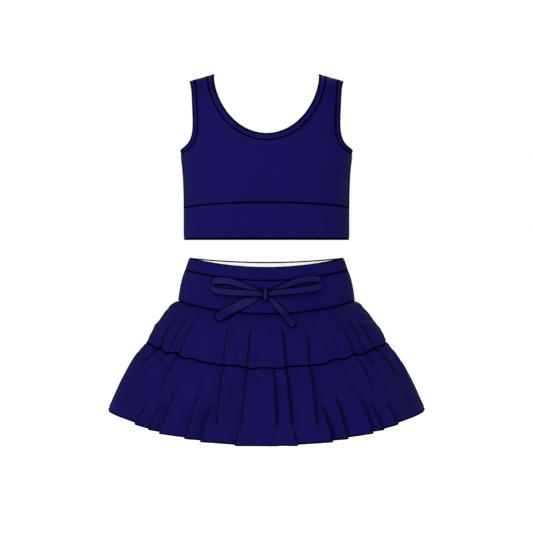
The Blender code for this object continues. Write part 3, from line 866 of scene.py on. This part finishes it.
def folded(turn, level, base):
    """The folded cloth at turns from the front and levels down the tiers, and how much painted crease shade it
    gets.
    """
    radius = np.hypot(base[..., 0], base[..., 1])
    outward = np.zeros(turn.shape)
    aside = np.zeros(turn.shape)
    crease = np.zeros(turn.shape)
    depth = FOLD_DEPTH[0] + (FOLD_DEPTH[1] - FOLD_DEPTH[0]) * smooth_step(0.1, 2.0, level)
    reach = FOLD_REACH[0] + (FOLD_REACH[1] - FOLD_REACH[0]) * level / 2
    crease_width = CREASE_SHADE_WIDTH / np.clip(np.abs(np.cos(turn)), 0.5, 1.0)
    for fold in TIER_FOLDS:
        start, end, strength, side = fold[2:]
        away = side * wrapped(turn - fold_angle(fold, level)) * radius
        shown = smooth_step(start - 0.06, start + 0.22, level)
        drawn = smooth_step(start, start + 0.08, level)
        if end < 2:
            shown = shown * smooth_step(end + 0.10, end - 0.20, level)
            drawn = drawn * smooth_step(end + 0.02, end - 0.10, level)
        near = np.exp(-(np.abs(away) / reach) ** 1.5)
        outward -= depth * strength * shown * np.tanh(away / FOLD_WIDTH) * near
        lip = np.tanh(away / FOLD_WIDTH) * np.exp(-(away / (2.4 * FOLD_WIDTH)) ** 2)
        aside -= side * FOLD_OVERLAP * shown * lip
        # Painted shade: a dark line just inside each fold's lip, where its crease lies in shade
        line = np.exp(-(away / crease_width + CREASE_SHADE_SET_BACK) ** 4)
        crease = np.maximum(crease, drawn * min(1.0, 1.3 * strength) * line)

    below_yoke = level * 0.072
    below_tier = np.abs(level - 1) * np.where(level < 1, 0.072, 0.115)
    gathers = 0.00055 * waves(turn, (104, 117, 131), 0) * np.exp(-below_yoke / 0.008)
    gathers += 0.0008 * waves(turn, (46, 57), 3) * np.exp(-below_yoke / 0.022) * (level > 0)
    gathers += 0.0006 * waves(turn, (118, 139), 5) * np.exp(-below_tier / 0.009)
    gathers += 0.0009 * waves(turn, (52, 63), 7) * np.exp(-below_tier / 0.022)
    outward += gathers * smooth_step(0.0, 0.05, level)
    outward += 0.0018 * waves(turn, (7, 11, 17), 9) * smooth_step(0.2, 2.0, level)
    at_side = smooth_step(0.84, 0.98, np.abs(np.sin(turn)))
    at_hem = smooth_step(1.55, 2.0, level)
    sag = -0.36 * outward * smooth_step(0.3, 1.2, level) * (1 - 0.7 * at_side * at_hem)
    outward -= 0.0024 * at_side * at_hem
    sag += 0.0026 * at_hem * smooth_step(0.72, 0.84, np.abs(np.sin(turn))) * (1 - 0.7 * at_side)
    near_seam = np.exp(-(np.abs(level - 1) / 0.10) ** 2)
    uneven = SEAM_UNEVENNESS[0] + SEAM_UNEVENNESS[1] * np.sin(2 * turn) ** 2
    sag += uneven * waves(turn, (13, 23, 31), 2) * near_seam

    normals = grid_normals(base)
    along = unit(np.gradient(base, axis=1))
    points = base + normals * outward[..., None] + along * aside[..., None]
    points[..., 2] += sag
    return points, crease


def tier_turns(start, end, count, level):
    """Angles of the columns for every level: closer together at the folds, and drifting with them."""
    middle = level.mean()
    fine = np.linspace(start, end, 6000)
    density = np.ones(fine.shape)
    anchors = {start: np.zeros(level.shape), end: np.zeros(level.shape)}
    for fold in TIER_FOLDS:
        if fold[2] > level.max() or fold[3] < level.min():
            continue
        centre = fold_angle(fold, middle)
        centre += 2 * math.pi * round(((start + end) / 2 - centre) / (2 * math.pi))
        density += 5 * np.exp(-(wrapped(fine - centre) / math.radians(0.7)) ** 2)
        if start < centre < end:
            anchors[centre] = fold_angle(fold, level) - fold_angle(fold, middle)
    amount = np.r_[0, np.cumsum((density[1:] + density[:-1]) / 2)]
    turns = np.interp(np.linspace(0, amount[-1], count), amount, fine)
    places = sorted(anchors)
    drift = np.array([anchors[place] for place in places])
    return turns[None] + np.array([np.interp(turns, places, drift[:, row]) for row in range(len(level))])


def settled(points, sewn_rows, cap, frames=16):
    """How far a ring of cloth moves, at most cap, when it settles between its sewn rows.

    The cloth is a little larger than the room it has, so it buckles softly. A whole row's drop
    and spread are taken off again, so the tier keeps its size.
    """
    rows, columns = points.shape[:2]
    cloth = mesh_object("settling_cloth", points.reshape(-1, 3), grid_faces(rows, columns, wrap_columns=True))
    sewn = cloth.vertex_groups.new(name="sewn")
    for row in sewn_rows:
        first = row % rows * columns
        sewn.add(list(range(first, first + columns)), 1.0, "REPLACE")
    modifier = cloth.modifiers.new("Cloth", "CLOTH")
    settings = modifier.settings
    settings.quality = 5
    settings.mass = 0.15
    settings.tension_stiffness = settings.compression_stiffness = 10
    settings.shear_stiffness = 5
    settings.bending_stiffness = 0.4
    settings.air_damping = 4
    settings.vertex_group_mass = "sewn"
    settings.shrink_min = -CLOTH_GROWTH
    settings.effector_weights.gravity = 0.03
    modifier.point_cache.frame_start, modifier.point_cache.frame_end = 1, frames
    for number in range(1, frames + 1):
        bpy.context.scene.frame_set(number)
    moved = np.empty(rows * columns * 3)
    result = cloth.evaluated_get(bpy.context.evaluated_depsgraph_get())
    result.data.vertices.foreach_get("co", moved)
    bpy.data.objects.remove(cloth, do_unlink=True)
    bpy.context.scene.frame_set(1)
    shift = moved.reshape(points.shape) - points
    outwards = unit(points * (1.0, 1.0, 0.0))
    spread = np.sum(shift * outwards, axis=-1).mean(axis=1)[:, None, None]
    shift -= outwards * spread
    shift[..., 2] -= shift[..., 2].mean(axis=1, keepdims=True)
    length = np.maximum(np.linalg.norm(shift, axis=-1, keepdims=True), 1e-9)
    return shift / length * cap * np.tanh(length / cap)


def filled_in(coarse):
    """A field on a whole wrapped grid, from its values at every second row and column."""
    wide = np.concatenate([coarse, coarse[:, :1]], axis=1)
    tall = np.empty((2 * len(wide) - 1,) + wide.shape[1:])
    tall[::2] = wide
    tall[1::2] = (wide[:-1] + wide[1:]) / 2
    full = np.empty((len(tall), 2 * coarse.shape[1], 3))
    full[:, ::2] = tall[:, :-1]
    full[:, 1::2] = (tall[:, :-1] + tall[:, 1:]) / 2
    return full


def add_tier(label, level, columns, blend_heights, sewn_rows, swing):
    """One gathered tier, as a front and a back piece. Returns its ring of points and its normals."""
    halves = []
    for start in (-math.pi / 2, math.pi / 2):
        turn = tier_turns(start, start + math.pi, columns, level)
        levels = np.broadcast_to(level[:, None], turn.shape)
        base = skirt_point(turn - math.pi / 2, position_at(levels))
        points, crease = folded(turn, levels, base)
        tuck = TUCK * smooth_step(0.05, 0.0, levels - level[0])
        halves.append((base, points - grid_normals(base) * tuck[..., None], crease))
    ring = np.concatenate([points[:, :-1] for _, points, _ in halves], axis=1)
    ring = ring + filled_in(settled(ring[::2, ::2], sewn_rows, swing))
    closed = np.concatenate([ring, ring[:, :1]], axis=1)
    start, end = [(0, 0, height) for height in blend_heights]
    for i, half in enumerate(("front", "back")):
        first = i * (columns - 1)
        points = closed[:, first:first + columns]
        base, _, crease = halves[i]
        piece = shell_object(f"{label}_{half}_cloth", points, grid_faces(len(level), columns), TIER_CLOTH,
                             cloth_lengths(base), crease=crease)
        finish_piece(piece, "skirt_cloth", [f"{label}_{half}"])
        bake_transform(piece)
    normals = vertex_normals(ring.reshape(-1, 3), grid_faces(*ring.shape[:2], wrap_columns=True))
    normals = normals.reshape(ring.shape)
    for side, column in (("right", 0), ("left", columns - 1)):
        path = ring[1:-1, column]
        seam = stitched_cord(f"{label}_side_seam_{side}", path, normals[1:-1, column], False, *SIDE_CORD)
        finish_piece(seam, "thread")
        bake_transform(seam)
    return ring, normals


def add_skirt_band(label, first, last, rows, thickness, proud, hip=0.0, overlap=0.0):
    """The waistband or the yoke: smooth bands, each with a front and a back."""
    columns = 150
    for half, start in (("front", -math.pi), ("back", 0.0)):
        angle = np.broadcast_to(np.linspace(start, start + math.pi, columns), (rows, columns))
        position = np.broadcast_to(np.linspace(first, last, rows)[:, None], angle.shape)
        points = skirt_point(angle, position)
        share = np.linspace(0, 1, rows)[:, None]
        crown = proud * (0.35 + 0.65 * np.sin(math.pi * share))
        crown = crown + hip * np.sin(math.pi * share) * np.cos(angle) ** 4
        points = points + grid_normals(points) * crown[..., None]
        points[-1, :, 2] -= overlap
        piece = shell_object(f"{label}_{half}_cloth", points, grid_faces(rows, columns), thickness,
                             cloth_lengths(points), rim_steps=3)
        ride_on(piece, "skirt", "knit", [f"{label}_{half}"])


def line_with_normals(position, lift, count=1200):
    """A line round the skirt on its plain surface, with normals, lifted off the cloth."""
    angle = np.linspace(0, 2 * math.pi, count, endpoint=False)
    step = 0.02 if position < HEM else -0.02
    here = skirt_point(angle, np.full(count, float(position)))
    below = skirt_point(angle, np.full(count, position + step))
    along = path_directions(here, closed=True)
    normals = unit(np.cross((below - here) * np.sign(step), along))
    return here + normals * lift, normals


def add_skirt():
    add_skirt_band("waistband", WAIST + 0.05, BAND_SEAM, 16, FOLDED_BAND, 0.0006)
    add_skirt_band("yoke", BAND_SEAM, YOKE_SEAM, 30, KNIT, 0.0007, hip=YOKE_HIP, overlap=0.0008)
    path, normals = line_with_normals(WAIST + 0.03, 0.0)
    ride_on(stitched_cord("waist_edge", path - normals * 0.0010, normals, True, *ROLLED_CORD),
            "skirt", "thread")
    path, normals = line_with_normals(BAND_SEAM, 0.0006)
    ride_on(stitched_cord("waistband_seam", path, normals, True), "skirt", "thread")
    path, normals = line_with_normals(YOKE_SEAM, 0.0006)
    ride_on(stitched_cord("yoke_seam", path, normals, True), "skirt", "thread")

    for side, angle in (("left", 0.0), ("right", math.pi)):
        positions = np.linspace(WAIST + 0.1, YOKE_SEAM - 0.02, 80)
        path = skirt_point(np.full(80, angle), positions)
        outwards = np.tile((math.cos(angle), 0.0, 0.15), (80, 1))
        path = path + outwards * YOKE_HIP * np.sin(math.pi * np.clip(positions - BAND_SEAM, 0, 1))[:, None]
        ride_on(stitched_cord(f"yoke_side_seam_{side}", path, outwards, False, *SIDE_CORD),
                "skirt", "thread")

    ring, normals = add_tier("upper_tier", np.linspace(0.0, 1.0, 41), 381,
                             (0.195, 0.150), (0, 1, -1), 0.0018)
    ride_on(stitched_cord("tier_seam", ring[-1] + normals[-1] * 0.0002, normals[-1], True), "upper_tier",
            "thread")
    lower, heights = ("upper_tier", "lower_tier"), (0.1152, 0.040)
    ring, normals = add_tier("lower_tier", np.linspace(1.0, 2.0, 57), 471, heights, (0, 1), 0.0032)
    hem = stitched_cord("hem_edge", ring[-1] - normals[-1] * 0.0004, normals[-1], True, *HEM_CORD)
    finish_piece(hem, "thread")
    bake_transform(hem)


# ---------------------------------------------------------------- elastics and labels


def add_elastic(name, node, body, ring, channels):
    """A ring of ribbed elastic: ring gives its points at an angle and a share of its height."""
    rows, columns = channels * 4 + 1, 720
    angle = np.broadcast_to(np.linspace(0, 2 * math.pi, columns, endpoint=False), (rows, columns))
    share = np.broadcast_to(np.linspace(0, 1, rows)[:, None], angle.shape)
    points = ring(angle, share)
    padded = np.concatenate([points[:, -1:], points, points[:, :1]], axis=1)
    normals = grid_normals(padded)[:, 1:-1]
    cords = 0.00022 * np.cos(2 * math.pi * channels * share)
    ribs = 0.00012 * np.cos(180 * angle)
    points = points - normals * (cords + ribs)[..., None]
    outer = points + normals * 0.0004
    faces = grid_faces(rows, columns, wrap_columns=True)
    length = cloth_lengths(points)
    obj = shell_object(name, outer, faces, 0.0011, length)
    return ride_on(obj, body, "elastic", [node])


def waist_elastic_ring(angle, share):
    line = 0.11 + share * 0.765
    points = skirt_point(angle, line)
    points[..., 0] -= 0.0027 * np.cos(angle)
    points[..., 1] -= 0.0027 * np.sin(angle)
    return points


def underband_elastic_ring(angle, share):
    low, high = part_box("underband_elastic")
    height = high.z + (low.z - high.z) * share
    points = top_point(angle, height)
    points[..., 0] -= 0.0030 * np.cos(angle)
    points[..., 1] -= 0.0030 * np.sin(angle)
    return points


def add_label(node):
    """A blank label, hanging free and slightly curled."""
    low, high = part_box(node)
    rows, columns = 28, 22
    width, height = high.x - low.x, high.z - low.z
    down = np.broadcast_to(np.linspace(0, 1, rows)[:, None], (rows, columns))
    across = np.broadcast_to(np.linspace(-0.5, 0.5, columns), (rows, columns))
    curl = 0.0009 * np.sin(down * math.pi * 0.8) * np.cos(across * math.pi)
    points = np.stack([across * width, (low.y + high.y) / 2 - 0.0002 - curl, high.z - down * height],
                      axis=-1)
    faces = grid_faces(rows, columns)
    uv = np.stack([across * width, down * height], axis=-1)
    obj = shell_object(f"{node}_cloth", points, faces, 0.00035, uv)
    ride_on(obj, node, "label", [node])


# ---------------------------------------------------------------- bow


def ribbon_piece(body, rows, closed):
    """A ribbon with a dark woven edge.

    Rows of points run along it, and a closed ribbon wraps round into a loop.
    """
    points = np.array(rows)
    faces = grid_faces(*points.shape[:2], wrap_columns=closed)
    across = np.linalg.norm(np.diff(points, axis=0), axis=2).mean(axis=1)
    along = path_lengths(points[len(points) // 2])
    uv = np.stack(np.broadcast_arrays(along[None], np.r_[0, np.cumsum(across)][:, None]), axis=-1)
    normals = vertex_normals(points.reshape(-1, 3), faces).reshape(points.shape)
    outer = points + normals * RIBBON / 2
    pieces = [finish_piece(shell_object(f"{body}_ribbon", outer, faces, RIBBON, uv,
                                        crease=np.zeros(points.shape[:2])), "ribbon", [body])]
    if closed:
        edges = [(points[0], normals[0], "upper"), (points[-1], normals[-1], "lower")]
    else:
        edges = [(np.vstack([points[0], points[1:-1, -1], points[-1, ::-1]]),
                  np.vstack([normals[0], normals[1:-1, -1], normals[-1, ::-1]]), "woven")]
    for path, upwards, label in edges:
        cord = stitched_cord(f"{body}_{label}_edge", path, upwards, closed, RIBBON_EDGE, RIBBON_EDGE * 0.8)
        pieces.append(finish_piece(cord, "thread"))
    for piece in pieces:
        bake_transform(piece)


def add_bow_loop(label, side, reach, front_rise, back_rise):
    """A ribbon loop: its front leg runs out low, turns at the tip and comes back higher up."""
    root_x = KNOT_X + side * (KNOT_SIZE[0] / 2 - LOOP_TUCK)
    angle = 2 * math.pi * (np.arange(120) + 0.5) / 120
    share = (1 - np.cos(angle)) / 2
    opened = np.sin(share * math.pi / 2)
    width = LOOP_ROOT_WIDTH + (LOOP_WIDTH - LOOP_ROOT_WIDTH) * opened
    front = (1 + signed_power(np.sin(angle), 0.6)) / 2
    rise = back_rise + (front_rise - back_rise) * front
    rows = []
    for edge in np.linspace(0.5, -0.5, 11):
        x = root_x + side * reach * share
        z = KNOT_HEIGHT + rise * opened + edge * width
        apart = LOOP_ROOT_APART + LOOP_BULGE * share
        pleat = 0.0005 * np.cos(edge * 4 * math.pi) * (1 - share) ** 2
        cup = 0.0040 * edge ** 2 * opened * front
        y = skirt_front_y(x, z) - LOOP_CLEARANCE - 2 * apart * front - RIBBON - pleat - cup
        rows.append(np.stack([x, y, z], axis=1))
    if side < 0:
        rows = rows[::-1]
    ribbon_piece(f"bow_loop_{label}", rows, True)


def bridged(y, reach):
    """A ribbon's y along its run, which spans the hollows of the surface below it."""
    padded = np.r_[np.full(reach, 2 * y[0]) - y[reach:0:-1], y, np.full(reach, 2 * y[-1]) - y[-2:-reach - 2:-1]]
    weights = np.hanning(2 * reach + 3)[1:-1]
    return np.minimum(y, np.convolve(padded, weights / weights.sum(), "valid"))


def add_bow_tail(label, end, root_width, widest, end_width, stand_off):
    """A flat ribbon end that comes from behind the knot and hangs over the yoke seam."""
    start = np.array([KNOT_X, KNOT_HEIGHT + TAIL_START_RISE])
    run = np.array(end) - start
    across = np.array([-run[1], run[0]]) / np.linalg.norm(run)
    share = np.linspace(0, 1, 70)
    width = np.interp(share, (0.0, 0.3, 1.0), (root_width, widest, end_width))
    rows = []
    for edge in np.linspace(0.5, -0.5, 9):
        flat = start + run * share[:, None] + across * (width * edge)[:, None]
        lifted = TAIL_CLEARANCE + (stand_off - TAIL_CLEARANCE) * smooth_step(0.25, 0.95, share)
        wave = 0.0007 * np.sin(share * 2.4 * math.pi) * share - 0.0012 * edge ** 2
        y = bridged(skirt_front_y(flat[:, 0], flat[:, 1]), 9) - lifted - wave
        rows.append(np.stack([flat[:, 0], y, flat[:, 1]], axis=1))
    if end[0] < start[0]:
        rows = rows[::-1]
    ribbon_piece(f"bow_tail_{label}", rows, False)


def add_knot():
    """The wrap at the middle of the bow: a rounded block with lengthwise pleats and dark edges."""
    low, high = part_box("bow_knot")
    middle = np.array((low + high) / 2)
    width, depth, height = KNOT_SIZE
    above = skirt_front_y(np.array(KNOT_X), np.array(KNOT_HEIGHT + height / 2))
    below = skirt_front_y(np.array(KNOT_X), np.array(KNOT_HEIGHT - height / 2))
    slope = math.atan2(float(above - below), height)

    def placed(x, y, z):
        turned_y = y * math.cos(slope) + z * math.sin(slope)
        turned_z = z * math.cos(slope) - y * math.sin(slope)
        return middle + np.stack(np.broadcast_arrays(x, turned_y, turned_z), axis=-1)

    rows, columns = 48, 64
    lat = np.linspace(0.0, math.pi, rows + 2)[1:-1, None]
    lon = np.linspace(0, 2 * math.pi, columns, endpoint=False)[None]
    ring = signed_power(np.sin(lat), 0.42)
    up = signed_power(np.cos(lat), 0.42)
    across = signed_power(np.cos(lon), 0.55) * ring
    pleats = 1 + 0.05 * np.cos(across * 9)
    points = placed(across * (0.92 + 0.08 * up ** 2) * width / 2,
                    signed_power(np.sin(lon), 0.55) * ring * pleats * depth / 2,
                    up * height / 2)
    vertices = points.reshape(-1, 3)
    faces = [grid_faces(rows, columns, wrap_columns=True)]
    for row, turn in ((0, 1), (rows - 1, -1)):
        corners = row * columns + np.arange(columns)
        top = np.full(columns, len(vertices))
        vertices = np.vstack([vertices, vertices[corners].mean(axis=0)])
        faces.append(np.stack([corners, np.roll(corners, -turn), top, top], axis=1))
    uv = vertices[:, [2, 0]]
    ride_on(mesh_object("bow_knot_wrap", vertices, np.vstack(faces), uv), "skirt", "ribbon",
            ["bow_knot"])
    turn = np.linspace(0, 2 * math.pi, 200, endpoint=False)
    for label, side in (("left", 1), ("right", -1)):
        y = signed_power(np.cos(turn), 0.42) * depth / 2
        z = signed_power(np.sin(turn), 0.42) * height / 2
        path = placed(side * width / 2 * 0.93, y, z)
        outwards = unit(path - placed(side * width / 2 * 0.93, 0.0, 0.0))
        ride_on(stitched_cord(f"bow_knot_edge_{label}", path, outwards, True, RIBBON_EDGE, RIBBON_EDGE),
                "skirt", "thread")


def add_bow():
    add_bow_loop("left", 1, 0.0880, 0.0075, 0.0268)
    add_bow_loop("right", -1, 0.0855, 0.0035, 0.0240)
    add_bow_tail("left", (0.0431, 0.1803), 0.0070, 0.0102, 0.0118, 0.0070)
    add_bow_tail("right", (-0.0800, 0.1920), 0.0080, 0.0152, 0.0133, 0.0090)
    add_knot()


# ---------------------------------------------------------------- stage


def add_stage():
    """A wide pale floor, far enough below the uniform that it lies clear of its own shadow."""
    bpy.ops.mesh.primitive_circle_add(vertices=96, radius=14.0, fill_type="NGON", location=(0, 0, FLOOR))
    floor = bpy.context.object
    floor.name = "studio_floor"
    shader = Shader("studio_floor")
    shader.surface.inputs["Base Color"].default_value = (0.70, 0.70, 0.70, 1.0)
    shader.surface.inputs["Roughness"].default_value = 1.0
    shader.surface.inputs["Specular IOR Level"].default_value = 0.0
    shader.surface.inputs["Emission Color"].default_value = (1.0, 1.0, 1.0, 1.0)
    shader.surface.inputs["Emission Strength"].default_value = 0.74
    floor.data.materials.append(shader.material)


def aim(obj, target):
    direction = Vector(target) - obj.location
    obj.rotation_euler = direction.to_track_quat("-Z", "Y").to_euler()


def add_light(name, location, size, power, target=(0, 0, 0.3)):
    light = bpy.data.lights.new(name, "AREA")
    light.shape = "DISK"
    light.size = size
    light.energy = power
    obj = bpy.data.objects.new(name, light)
    obj.location = location
    bpy.context.scene.collection.objects.link(obj)
    aim(obj, target)


def add_world():
    world = bpy.data.worlds.new("studio")
    world.use_nodes = True
    nodes, links = world.node_tree.nodes, world.node_tree.links
    background = nodes["Background"]
    background.inputs["Color"].default_value = (1.0, 1.0, 1.0, 1.0)
    path = nodes.new("ShaderNodeLightPath")
    strength = nodes.new("ShaderNodeMapRange")
    strength.inputs["To Min"].default_value = WORLD_LIGHT
    strength.inputs["To Max"].default_value = 1.0
    links.new(path.outputs["Is Camera Ray"], strength.inputs["Value"])
    links.new(strength.outputs[0], background.inputs["Strength"])
    bpy.context.scene.world = world


def add_camera():
    camera = bpy.data.objects.new("camera", bpy.data.cameras.new("camera"))
    camera.data.lens = 102.3
    camera.data.sensor_width = 36.0
    camera.location = (0.0, -2.5, 0.273)
    camera.rotation_euler = (math.pi / 2, 0.0, 0.0)
    bpy.context.scene.collection.objects.link(camera)
    bpy.context.scene.camera = camera


FLOOR = -0.30
WORLD_LIGHT = 0.46

add_top()
add_skirt()
add_elastic("waist_elastic_cloth", "waistband_elastic", "skirt", waist_elastic_ring, 6)
add_elastic("underband_elastic_cloth", "underband_elastic", "top", underband_elastic_ring, 8)
add_label("neck_label")
add_label("care_label")
add_bow()

add_stage()
add_world()
add_light("key", (-1.6, -2.2, 1.7), 1.0, 48)
add_light("fill", (1.9, -1.8, 0.9), 1.6, 10)
add_light("back", (0.6, 2.0, 2.2), 1.2, 20)
add_camera()
bpy.context.scene.view_settings.view_transform = "Standard"

bpy.context.view_layer.update()
